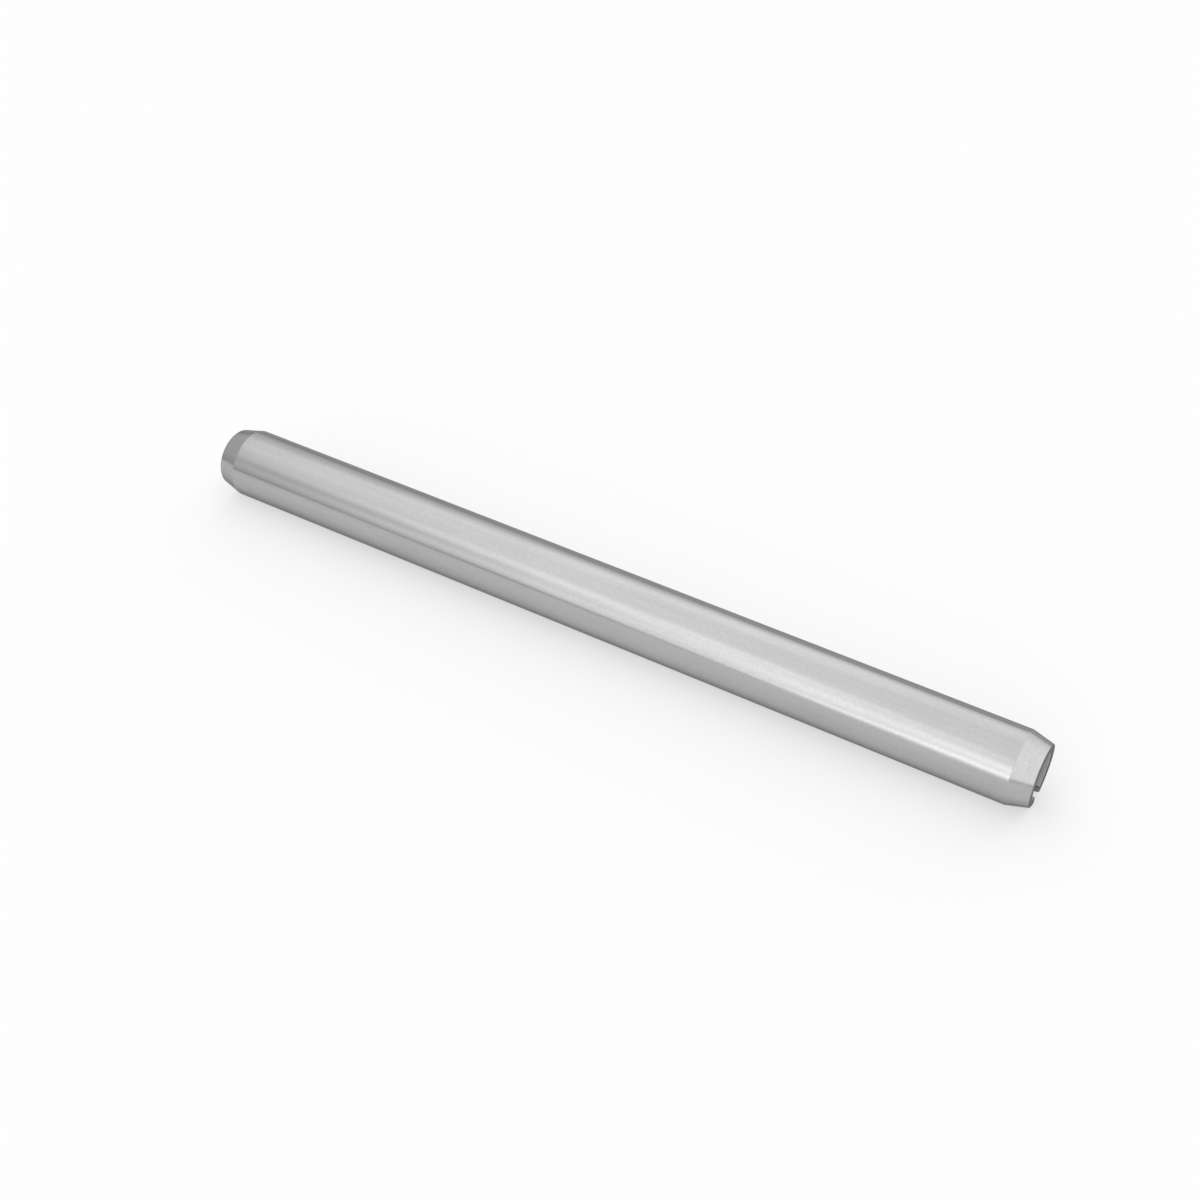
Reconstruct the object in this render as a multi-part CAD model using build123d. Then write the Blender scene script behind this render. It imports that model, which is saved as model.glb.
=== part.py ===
from build123d import *
import math
import os

# Slotted spring pin, heavy-duty pattern, nominal 6 mm by 80 mm, drawn free before it is driven in.
#
# The pin is one strip of hardened spring steel, rolled across its width into a tube that stays open
# along a slot. Both ends are tapered on the outside, so that the pin starts in a drilled hole. Driving
# it in squeezes the free diameter down to the nominal 6 mm and nearly shuts the slot, and the wall's
# spring then holds it there.
#
# Frame: +X runs along the pin's axis and +Z points up. The origin is on the axis, at mid length. The
# slot faces straight down, so the pin rests on the slot's two long edges.
# Units: millimetres and degrees.

# Driving dimensions
FREE_DIAMETER = 6.4  # outside, before the pin is squeezed into its 6 mm hole
WALL = 1.2  # thickness of the strip
LENGTH = 80.0
SLOT_WIDTH = 1.16  # the slot's faces are parallel
TAPER_LENGTH = 1.9  # along the axis, at each end
TAPER_ANGLE = 15.0  # between the taper and the axis
SHOULDER_BLEND = 0.35  # radius where a taper runs into the shank
EDGE_BREAK = 0.12  # radius that tumbling leaves on every cut edge

# Worked out from them
SHANK_RADIUS = FREE_DIAMETER / 2
BORE_RADIUS = SHANK_RADIUS - WALL
HALF_LENGTH = LENGTH / 2
SHOULDER_X = HALF_LENGTH - TAPER_LENGTH
NOSE_RADIUS = SHANK_RADIUS - TAPER_LENGTH * math.tan(math.radians(TAPER_ANGLE))


def wall_section():
    """The rolled wall's section on one side of the axis: straight bore, shank, and a taper at each end."""
    outline = Polyline(
        (-HALF_LENGTH, BORE_RADIUS),
        (-HALF_LENGTH, NOSE_RADIUS),
        (-SHOULDER_X, SHANK_RADIUS),
        (SHOULDER_X, SHANK_RADIUS),
        (HALF_LENGTH, NOSE_RADIUS),
        (HALF_LENGTH, BORE_RADIUS),
        close=True,
    )
    section = make_face(outline)
    shoulders = section.vertices().filter_by(lambda corner: abs(corner.Y - SHANK_RADIUS) < WALL / 100)
    return fillet(shoulders, SHOULDER_BLEND)


def closed_tube():
    """The wall carried once round the axis, as if the strip's edges met."""
    return revolve(wall_section(), axis=Axis.X)


def slot_space():
    """The gap that the rolled strip leaves below the axis, cut past the wall and both ends."""
    return Box(
        LENGTH * 1.1,
        SLOT_WIDTH,
        FREE_DIAMETER,
        align=(Align.CENTER, Align.CENTER, Align.MAX),
    )


def spring_pin():
    """The slotted tube with its cut edges broken: the slot's faces and both noses, outside and in."""
    pin = closed_tube() - slot_space()
    slot_faces = pin.faces().filter_by(Axis.Y)
    nose_faces = pin.faces().filter_by(Axis.X)
    cut_edges = ShapeList(slot_faces.edges() + nose_faces.edges())
    return fillet(cut_edges, EDGE_BREAK)


os.makedirs("parts", exist_ok=True)
export_step(spring_pin(), "parts/spring_pin.step")
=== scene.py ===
import math

import bmesh
import bpy
import numpy as np
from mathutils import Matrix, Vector


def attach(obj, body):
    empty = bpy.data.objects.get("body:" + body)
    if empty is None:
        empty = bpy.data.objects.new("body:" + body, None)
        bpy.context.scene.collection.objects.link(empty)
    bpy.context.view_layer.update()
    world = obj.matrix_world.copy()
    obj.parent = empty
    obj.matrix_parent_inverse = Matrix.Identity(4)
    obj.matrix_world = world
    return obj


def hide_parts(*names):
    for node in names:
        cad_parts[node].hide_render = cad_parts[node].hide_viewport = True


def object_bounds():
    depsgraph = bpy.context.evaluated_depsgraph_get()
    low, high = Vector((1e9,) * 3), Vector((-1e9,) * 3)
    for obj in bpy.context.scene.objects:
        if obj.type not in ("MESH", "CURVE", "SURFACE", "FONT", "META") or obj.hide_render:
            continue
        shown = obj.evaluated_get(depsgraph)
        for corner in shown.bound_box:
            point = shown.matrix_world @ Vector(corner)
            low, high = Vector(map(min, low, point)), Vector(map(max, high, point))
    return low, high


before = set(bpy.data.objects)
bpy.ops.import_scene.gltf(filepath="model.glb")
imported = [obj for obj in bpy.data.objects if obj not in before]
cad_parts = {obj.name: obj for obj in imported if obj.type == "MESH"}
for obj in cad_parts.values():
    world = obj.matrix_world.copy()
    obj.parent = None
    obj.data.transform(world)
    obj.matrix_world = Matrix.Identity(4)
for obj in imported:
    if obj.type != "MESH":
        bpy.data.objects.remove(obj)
cad_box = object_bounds()

scene = bpy.context.scene
scene.view_settings.view_transform = "Standard"


# -------------------------------------------------------------------------------------------------
# The camera: close to the pin, in front of it and above, turned towards the pin's right end and
# looking down on it at a little more than forty degrees.
# -------------------------------------------------------------------------------------------------

CAMERA_DISTANCE = 0.14686
CAMERA_TURN = 30.2  # degrees from straight in front of the pin towards its right end
CAMERA_RISE = 43.1  # degrees up from the floor
CAMERA_AIM = Vector((-0.00005, 0.00001, 0.00003))
CAMERA_SENSOR = 36.0  # millimetres, as the lens is
CAMERA_LENS = 50.66
CAMERA_NEAREST = 0.005  # it draws nothing nearer than this


def unit_direction(turn, rise):
    """Unit vector turned from straight in front (-Y) towards the right (+X) and raised, in degrees.

    Its height is the sine of the rise. Its length on the level is the cosine of the rise, shared
    out to the right by the sine of the turn and to the front by its cosine.
    """
    turn, rise = math.radians(turn), math.radians(rise)
    level = math.cos(rise)
    return Vector((math.sin(turn) * level, -math.cos(turn) * level, math.sin(rise)))


towards_camera = unit_direction(CAMERA_TURN, CAMERA_RISE)
camera = bpy.data.objects.new("camera", bpy.data.cameras.new("camera"))
camera.data.sensor_width = CAMERA_SENSOR
camera.data.lens = CAMERA_LENS
camera.data.clip_start = CAMERA_NEAREST
camera.location = CAMERA_AIM + towards_camera * CAMERA_DISTANCE
camera.rotation_euler = towards_camera.to_track_quat("Z", "Y").to_euler()
scene.collection.objects.link(camera)
scene.camera = camera


# -------------------------------------------------------------------------------------------------
# The spring pin: one strip of hardened spring steel, cold rolled across its width into a tube that
# stays open along a slot, with a taper pressed on each end so that it starts in its hole. Tumbling
# after the hardening rounded every cut edge and left the steel satin and bare.
# -------------------------------------------------------------------------------------------------

SHANK_RADIUS = 0.0032
BORE_RADIUS = 0.0020
HALF_LENGTH = 0.0400
HALF_SLOT = 0.00058
TAPER_START = 0.0381  # from mid length
TAPER_ANGLE = math.radians(15.0)
SHOULDER_BLEND = 0.00035
EDGE_BREAK = 0.00012

HALF_ARC_STEPS = 112  # from the top of the pin down to the slot, outside and in the bore
EDGE_STEPS = 6  # round each broken edge of the slot
FACE_STEPS = 10  # across the wall, on the slot's faces and on the ends
HALF_SHANK_STEPS = 24  # along the pin, from mid length to the blend
BLEND_STEPS = 6
TAPER_STEPS = 6
END_EDGE_TURNS = np.radians([0, 7, 15, 26, 37, 48, 59, 70, 80, 90])  # round the end's broken edge
MERGE_DISTANCE = 2e-7  # joins the end faces to the wall at their rims


def outer_radius(x):
    """Radius of the outside at distance x from mid length.

    The shank's radius as far as the shoulder, then the blend's arc, tangent to shank and taper,
    then the taper's straight line, and last the broken edge's arc, tangent to taper and end face.
    """
    reach = SHOULDER_BLEND * math.tan(TAPER_ANGLE / 2)
    into_blend = np.clip(x - (TAPER_START - reach), 0, SHOULDER_BLEND)
    blend = SHANK_RADIUS - SHOULDER_BLEND + np.sqrt(SHOULDER_BLEND**2 - into_blend**2)
    taper = SHANK_RADIUS - (x - TAPER_START) * math.tan(TAPER_ANGLE)
    into_edge = np.clip(x - (HALF_LENGTH - EDGE_BREAK), 0, EDGE_BREAK)
    edge_centre = (
        SHANK_RADIUS
        - (HALF_LENGTH - EDGE_BREAK - TAPER_START) * math.tan(TAPER_ANGLE)
        - EDGE_BREAK / math.cos(TAPER_ANGLE)
    )
    edge = edge_centre + np.sqrt(EDGE_BREAK**2 - into_edge**2)
    past_blend = x > TAPER_START + reach * math.cos(TAPER_ANGLE)
    in_edge = into_edge > EDGE_BREAK * math.sin(TAPER_ANGLE)
    return np.where(in_edge, edge, np.where(past_blend, taper, blend))


def end_inset(x):
    """How far the bore and the slot's faces draw back into the steel at distance x from mid
    length: nothing along the pin, and a quarter circle of the edge-break radius at the end."""
    into_edge = np.clip(x - (HALF_LENGTH - EDGE_BREAK), 0, EDGE_BREAK)
    return EDGE_BREAK - np.sqrt(EDGE_BREAK**2 - into_edge**2)


def edge_round(centre_radius, centre_angle, start, sweep, radius):
    """A broken edge in section: points on a small circle, turned from start through sweep, whose
    centre is given by its distance from the axis and its angle. Angles start straight down."""
    turn = start + sweep * np.linspace(0, 1, EDGE_STEPS + 1)
    across = centre_radius * np.sin(centre_angle) + radius * np.sin(turn)
    down = centre_radius * np.cos(centre_angle) + radius * np.cos(turn)
    return across, down


def wall_surface(x, steps_down):
    """The rolled wall: its section, a closed loop, at each station x along the axis.

    Half of the loop runs from the top of the outside down to the slot, round the outer edge, up
    the slot's face, round the inner edge and back up the bore. Each part is tangent to the next.
    The other half is its mirror image. Gives points as stations by loop by three.
    """
    inset = end_inset(np.abs(x))[:, None]
    outside = outer_radius(np.abs(x))[:, None]
    bore = BORE_RADIUS + inset
    face = HALF_SLOT + inset
    radius = EDGE_BREAK - inset
    outer_angle = np.arcsin((face + radius) / (outside - radius))
    inner_angle = np.arcsin((face + radius) / (bore + radius))

    down_the_outside = math.pi + (outer_angle - math.pi) * steps_down
    up_the_bore = math.pi + (inner_angle - math.pi) * steps_down[::-1]
    outer_edge = edge_round(
        outside - radius, outer_angle, outer_angle, -math.pi / 2 - outer_angle, radius
    )
    inner_edge = edge_round(
        bore + radius, inner_angle, -math.pi / 2, inner_angle - math.pi / 2, radius
    )
    up_the_face = np.linspace(0, 1, FACE_STEPS + 1)[1:-1]
    face_down = outer_edge[1][:, -1:] * (1 - up_the_face) + inner_edge[1][:, :1] * up_the_face

    across = np.concatenate([
        outside * np.sin(down_the_outside), outer_edge[0][:, 1:], face + 0 * face_down,
        inner_edge[0], bore * np.sin(up_the_bore)[:, 1:],
    ], axis=1)
    down = np.concatenate([
        outside * np.cos(down_the_outside), outer_edge[1][:, 1:], face_down,
        inner_edge[1], bore * np.cos(up_the_bore)[:, 1:],
    ], axis=1)
    across = np.concatenate([across, -across[:, -2:0:-1]], axis=1)
    down = np.concatenate([down, down[:, -2:0:-1]], axis=1)
    return np.stack([x[:, None] + 0 * across, across, -down], axis=-1)


def end_face(steps_down):
    """The flat end: straight lines across the wall from the rim of the outside to the rim of the
    bore, one for each step from lip to lip. Gives points as lines by steps across by three."""
    outside = outer_radius(np.array(HALF_LENGTH))
    bore = BORE_RADIUS + EDGE_BREAK
    face = HALF_SLOT + EDGE_BREAK
    across_wall = np.linspace(0, 1, FACE_STEPS + 1)[None, :]
    both_sides = np.concatenate([-steps_down[::-1], steps_down[1:]])[:, None]
    outer_turn = both_sides * (math.pi - math.asin(face / outside))
    inner_turn = both_sides * (math.pi - math.asin(face / bore))
    outer_part, inner_part = outside * (1 - across_wall), bore * across_wall
    across = outer_part * np.sin(outer_turn) + inner_part * np.sin(inner_turn)
    up = outer_part * np.cos(outer_turn) + inner_part * np.cos(inner_turn)
    return np.stack([HALF_LENGTH + 0 * across, across, up], axis=-1)


def grid_faces(rows, columns, first, closed):
    """Quads between neighbouring rows and columns of a grid of points numbered row by row from
    first. A closed grid also joins its last column to its first."""
    last = columns if closed else columns - 1
    row = np.arange(rows - 1)[:, None]
    column = np.arange(last)[None, :]
    beside = (column + 1) % columns
    corners = np.broadcast_arrays(
        row * columns + column, (row + 1) * columns + column,
        (row + 1) * columns + beside, row * columns + beside,
    )
    return first + np.stack(corners, axis=-1).reshape(-1, 4)


# stations along the right half: close together where the outside curves, and mirrored to the left
blend_reach = SHOULDER_BLEND * math.tan(TAPER_ANGLE / 2)
blend_from = TAPER_START - blend_reach
blend_to = TAPER_START + blend_reach * math.cos(TAPER_ANGLE)
edge_from = HALF_LENGTH - EDGE_BREAK
right_half = np.concatenate([
    np.linspace(0, blend_from, HALF_SHANK_STEPS, endpoint=False),
    np.linspace(blend_from, blend_to, BLEND_STEPS, endpoint=False),
    np.linspace(blend_to, edge_from, TAPER_STEPS, endpoint=False),
    edge_from + EDGE_BREAK * np.sin(END_EDGE_TURNS),
])
stations = np.concatenate([-right_half[:0:-1], right_half])
arc_steps = np.linspace(0, 1, HALF_ARC_STEPS + 1)

wall = wall_surface(stations, arc_steps)
right_end = end_face(arc_steps)
left_end = right_end * (-1, 1, 1)
points = np.concatenate([p.reshape(-1, 3) for p in (wall, right_end, left_end)])
wall_count, end_count = wall[..., 0].size, right_end[..., 0].size
wall_quads = grid_faces(*wall.shape[:2], 0, True)
right_quads = grid_faces(*right_end.shape[:2], wall_count, False)
left_quads = grid_faces(*left_end.shape[:2], wall_count + end_count, False)
quads = np.concatenate([wall_quads, right_quads, left_quads[:, ::-1]])

mesh = bpy.data.meshes.new("rolled_pin")
mesh.from_pydata(points.tolist(), [], quads.tolist())
shell = bmesh.new()
shell.from_mesh(mesh)
bmesh.ops.remove_doubles(shell, verts=shell.verts, dist=MERGE_DISTANCE)
bmesh.ops.recalc_face_normals(shell, faces=shell.faces)
for face in shell.faces:
    face.smooth = True
shell.to_mesh(mesh)
shell.free()
pin = bpy.data.objects.new("rolled_pin", mesh)
scene.collection.objects.link(pin)

# the steel: a neutral grey, a little uneven in tone, with the strip's faint rolling lines along
# the pin and the fine random grain that tumbling gives. The presses leave rings on the tapers. The
# bore, where the tumbling stones never reach, stays matt, and its paler colour is painted light
# inside it. The sheared ends and lips are rough, and their dark colour is painted shade
STEEL = (0.455, 0.455, 0.458, 1.0)
STEEL_DULL = (0.392, 0.392, 0.395, 1.0)
# paler than the outside: painted light inside the bore
BORE_STEEL_PAINTED_LIGHT = (0.62, 0.62, 0.62, 1.0)
# dark: painted shade on the sheared ends and the slot's lips
SHEARED_PAINTED_SHADE = (0.25, 0.25, 0.25, 1.0)
GRAZING_PAINTED_SHADE = (0.40, 0.40, 0.40, 1.0)  # a grey tint that darkens the reflections at grazing angles: painted shade along the rims

# each texture's length along the pin and width across it, in metres, and its detail
ROLLING_LINES = (0.014, 0.00016, 3.0)
STRIP_STREAKS = (0.030, 0.00045, 2.0)
TUMBLED_GRAIN = (0.00022, 0.00022, 2.0)
CLOUDY_TONE = (0.009, 0.0025, 2.0)
PRESS_RINGS = (0.00012, 0.004, 2.0)
TEXTURE_ROUGHNESS = 0.55

CLOUDS_DULL, GRAIN_DULLS, STREAKS_DULL = 0.25, 0.30, 0.20  # how far each one dulls the steel
SATIN = (0.155, 0.225)  # least and most roughness of the lines and rings
GRAIN_SATIN = (-0.01, 0.02)  # what the grain adds to it
BORE_SATIN = 0.55  # what the bore adds
SHEARED_SATIN = 0.34  # what the sheared faces add
LINE_RELIEF, GRAIN_RELIEF = 0.5, 0.6  # shares of the relief's depth
RELIEF_DEPTH = 0.0000012

steel = bpy.data.materials.new("tumbled_spring_steel")
steel.use_nodes = True
nodes = steel.node_tree.nodes
wires = steel.node_tree.links
shader = nodes["Principled BSDF"]
shader.inputs["Metallic"].default_value = 1.0
# the grey grazing tint paints shade along the pin's rims
shader.inputs["Specular Tint"].default_value = GRAZING_PAINTED_SHADE
place = nodes.new("ShaderNodeTexCoord").outputs["Object"]


# the helpers below add to the nodes and wires of the material or world in hand


def stretched_noise(along, across, detail):
    """Noise whose grains are along long on X and across wide on Y and Z, because the place is
    divided by those lengths before the noise is read."""
    stretch = nodes.new("ShaderNodeMapping")
    stretch.inputs["Scale"].default_value = (1 / along, 1 / across, 1 / across)
    wires.new(place, stretch.inputs["Vector"])
    noise = nodes.new("ShaderNodeTexNoise")
    noise.inputs["Scale"].default_value = 1.0
    noise.inputs["Detail"].default_value = detail
    noise.inputs["Roughness"].default_value = TEXTURE_ROUGHNESS
    wires.new(stretch.outputs["Vector"], noise.inputs["Vector"])
    return noise.outputs["Fac"]


def math_of(operation, first, second=0.0):
    """One sum on first and second, each a socket or a number, by the name of its operation. A
    square root or an absolute value takes only the first."""
    node = nodes.new("ShaderNodeMath")
    node.operation = operation
    for socket, value in zip(node.inputs, (first, second)):
        if isinstance(value, (int, float)):
            socket.default_value = value
        else:
            wires.new(value, socket)
    return node.outputs["Value"]


def ramped(value, low, high, to_low, to_high):
    """A smooth step: to_low below low, to_high above high, and between them three times the square
    less twice the cube of the way from low to high."""
    node = nodes.new("ShaderNodeMapRange")
    node.interpolation_type = "SMOOTHSTEP"
    ends = {"From Min": low, "From Max": high, "To Min": to_low, "To Max": to_high}
    for name, number in ends.items():
        node.inputs[name].default_value = number
    wires.new(value, node.inputs["Value"])
    return node.outputs["Result"]


def blended(how_far, first, second, kind):
    """A mix of two numbers (kind FLOAT) or two colours (kind RGBA): all first where how_far is 0,
    all second where it is 1, and in proportion between."""
    node = nodes.new("ShaderNodeMix")
    node.data_type = kind
    wires.new(how_far, next(s for s in node.inputs if s.enabled and s.name == "Factor"))
    for name, value in (("A", first), ("B", second)):
        socket = next(s for s in node.inputs if s.enabled and s.name == name)
        if isinstance(value, tuple):
            socket.default_value = value
        else:
            wires.new(value, socket)
    return next(s for s in node.outputs if s.enabled)


rolling_lines = stretched_noise(*ROLLING_LINES)
strip_streaks = stretched_noise(*STRIP_STREAKS)
tumbled_grain = stretched_noise(*TUMBLED_GRAIN)
cloudy_tone = stretched_noise(*CLOUDY_TONE)
press_rings = stretched_noise(*PRESS_RINGS)

split = nodes.new("ShaderNodeSeparateXYZ")
wires.new(place, split.inputs["Vector"])
from_middle = math_of("ABSOLUTE", split.outputs["X"])
off_slot = math_of("ABSOLUTE", split.outputs["Y"])
height_squared = math_of("POWER", split.outputs["Z"], 2.0)
off_axis = math_of("SQRT", math_of("ADD", math_of("POWER", off_slot, 2.0), height_squared))

# each kind of surface, found by its place, with a soft edge of a tenth of a millimetre or so
on_taper = ramped(from_middle, TAPER_START - 0.00003, TAPER_START + 0.00008, 0.0, 1.0)
in_bore = ramped(off_axis, BORE_RADIUS + 0.00004, BORE_RADIUS + 0.00014, 1.0, 0.0)
on_end = ramped(from_middle, HALF_LENGTH - 0.00010, HALF_LENGTH - 0.00002, 0.0, 1.0)
beside_slot = ramped(off_slot, HALF_SLOT + 0.00001, HALF_SLOT + 0.00005, 1.0, 0.0)
below_bore = ramped(split.outputs["Z"], -BORE_RADIUS, -BORE_RADIUS * 0.8, 1.0, 0.0)
sheared = math_of("MAXIMUM", on_end, math_of("MULTIPLY", beside_slot, below_bore))

uneven = ramped(cloudy_tone, 0.30, 0.70, 0.0, CLOUDS_DULL)
specks = ramped(tumbled_grain, 0.35, 0.75, 0.0, GRAIN_DULLS)
streaks = ramped(strip_streaks, 0.35, 0.65, 0.0, STREAKS_DULL)
dullness = math_of("ADD", math_of("ADD", uneven, specks), streaks)
# the bore's paler colour is painted light
skin = blended(in_bore, blended(dullness, STEEL, STEEL_DULL, "RGBA"), BORE_STEEL_PAINTED_LIGHT, "RGBA")
# the dark colour of the sheared ends and lips is painted shade
wires.new(blended(sheared, skin, SHEARED_PAINTED_SHADE, "RGBA"), shader.inputs["Base Color"])

worked = blended(on_taper, rolling_lines, press_rings, "FLOAT")
grain_satin = ramped(tumbled_grain, 0.3, 0.7, *GRAIN_SATIN)
satin = math_of("ADD", ramped(worked, 0.25, 0.75, *SATIN), grain_satin)
bore_satin = math_of("MULTIPLY", in_bore, BORE_SATIN)
rough_places = math_of("ADD", bore_satin, math_of("MULTIPLY", sheared, SHEARED_SATIN))
wires.new(math_of("ADD", satin, rough_places), shader.inputs["Roughness"])

grain_relief = math_of("MULTIPLY", tumbled_grain, GRAIN_RELIEF)
relief = math_of("ADD", math_of("MULTIPLY", worked, LINE_RELIEF), grain_relief)
bump = nodes.new("ShaderNodeBump")
bump.inputs["Strength"].default_value = 1.0
bump.inputs["Distance"].default_value = RELIEF_DEPTH
wires.new(relief, bump.inputs["Height"])
wires.new(bump.outputs["Normal"], shader.inputs["Normal"])

mesh.materials.append(steel)
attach(pin, "root")
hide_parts("spring_pin")


# -------------------------------------------------------------------------------------------------
# The floor: one wide sheet of matt white card that the pin lies on. It glows from beneath as a
# light table does, so that it stays white while the studio's light lays the pin's shadow on it.
# -------------------------------------------------------------------------------------------------

FLOOR_REACH = 3.0
FLOOR_WHITE = (0.86, 0.86, 0.86, 1.0)
GLOW = 0.5  # the light table's share of what the camera and the steel see, with a strength of 1

floor_height = cad_box[0][2]
floor_corners = np.array([(-1, -1, 0), (1, -1, 0), (1, 1, 0), (-1, 1, 0)]) * FLOOR_REACH
floor_mesh = bpy.data.meshes.new("floor")
floor_mesh.from_pydata((floor_corners + (0, 0, floor_height)).tolist(), [], [(0, 1, 2, 3)])
floor = bpy.data.objects.new("floor", floor_mesh)
scene.collection.objects.link(floor)
card = bpy.data.materials.new("matt_white_card")
card.use_nodes = True
nodes = card.node_tree.nodes
wires = card.node_tree.links
matt = nodes["Principled BSDF"]
matt.inputs["Base Color"].default_value = FLOOR_WHITE
matt.inputs["Roughness"].default_value = 1.0
matt.inputs["Specular IOR Level"].default_value = 0.0
glow = nodes.new("ShaderNodeEmission")
glow.inputs["Color"].default_value = (1, 1, 1, 1)
glow.inputs["Strength"].default_value = 1.0
ray = nodes.new("ShaderNodeLightPath").outputs
mirrored = math_of("MAXIMUM", ray["Is Glossy Ray"], ray["Is Transmission Ray"])
looked_at = math_of("MAXIMUM", ray["Is Camera Ray"], mirrored)
light_table = nodes.new("ShaderNodeMixShader")
wires.new(math_of("MULTIPLY", looked_at, GLOW), light_table.inputs["Fac"])
wires.new(matt.outputs["BSDF"], light_table.inputs[1])
wires.new(glow.outputs["Emission"], light_table.inputs[2])
wires.new(light_table.outputs["Shader"], nodes["Material Output"].inputs["Surface"])
floor_mesh.materials.append(card)


# -------------------------------------------------------------------------------------------------
# The studio light: plain grey walls with large soft lamps overhead, behind and in front, whose
# light doesn't reach the foot of the walls. A black curtain hangs on the right, off the pin's end.
# -------------------------------------------------------------------------------------------------

WALLS = 0.45
FRONT_FOOT, BACK_FOOT = 0.43, 0.42  # how bright the foot of each wall is
FRONT_FOOT_RISE, BACK_FOOT_RISE = 7.5, 9.0  # degrees up to where the lamps light it fully
FRONT_TO_BACK = (-0.3, 0.3)  # the Y over which the front wall's foot passes into the back wall's
# each lamp's turn from straight in front towards the right, its rise, the inner and outer reach of
# its light about that direction, all in degrees, and its strength
SOFT_BOX_OVERHEAD = (95, 45, 74, 93, 0.66)
WHITE_CEILING = (75, 78, 72, 114, 0.29)
BACK_LAMP = (-150, 20, 10, 45, 0.22)
FRONT_LAMP = (-12, 20, 0, 25, 0.90)
HIGH_FRONT_LAMP = (-28, 47, 0, 18, 0.42)
LOW_FRONT_LAMP = (-4, 4, 3, 15, 1.1)  # stands on the floor, in front of the wall's foot
SHADE = 0.92  # share of the light that passes the tracing paper over the right half of the lamps
WHITE_CARD = 0.30  # leans against the curtain, and the pin's right taper mirrors it
CURTAIN = 0.15  # share of the light that the curtain lets by
# the X of a direction, from -1 at the left to 1 at the right, where each one begins and is full
SHADE_EDGE = (-0.36, -0.10)
CARD_EDGE = (0.16, 0.34)
CURTAIN_EDGE = (math.sin(math.radians(27.0)), math.sin(math.radians(42.0)))

world = bpy.data.worlds.new("studio")
scene.world = world
world.use_nodes = True
nodes = world.node_tree.nodes
wires = world.node_tree.links
direction = nodes.new("ShaderNodeTexCoord").outputs["Generated"]
axes = nodes.new("ShaderNodeSeparateXYZ")
wires.new(direction, axes.inputs["Vector"])


def soft_patch(turn, rise, inner, outer, strength):
    """A lamp's light: full strength within inner degrees of its direction, and none beyond outer,
    with a smooth step of the angle's cosine between them."""
    dot = nodes.new("ShaderNodeVectorMath")
    dot.operation = "DOT_PRODUCT"
    dot.inputs[1].default_value = unit_direction(turn, rise)
    wires.new(direction, dot.inputs[0])
    none_below, full_above = math.cos(math.radians(outer)), math.cos(math.radians(inner))
    return ramped(dot.outputs["Value"], none_below, full_above, 0.0, strength)


light = WALLS
for lamp in (SOFT_BOX_OVERHEAD, WHITE_CEILING, BACK_LAMP, FRONT_LAMP, HIGH_FRONT_LAMP):
    light = math_of("ADD", soft_patch(*lamp), light)
light = math_of("MULTIPLY", light, ramped(axes.outputs["X"], *SHADE_EDGE, 1.0, SHADE))
light = math_of("ADD", light, ramped(axes.outputs["X"], *CARD_EDGE, 0.0, WHITE_CARD))
light = math_of("MULTIPLY", light, ramped(axes.outputs["X"], *CURTAIN_EDGE, 1.0, CURTAIN))
foot_heights = [math.sin(math.radians(rise)) for rise in (FRONT_FOOT_RISE, BACK_FOOT_RISE)]
foot_height = ramped(axes.outputs["Y"], *FRONT_TO_BACK, *foot_heights)
up_the_foot = ramped(math_of("DIVIDE", axes.outputs["Z"], foot_height), 0.0, 1.0, 0.0, 1.0)
foot = ramped(axes.outputs["Y"], *FRONT_TO_BACK, FRONT_FOOT, BACK_FOOT)
light = blended(up_the_foot, foot, light, "FLOAT")
light = math_of("ADD", light, soft_patch(*LOW_FRONT_LAMP))
wires.new(light, nodes["Background"].inputs["Strength"])
nodes["Background"].inputs["Color"].default_value = (1, 1, 1, 1)
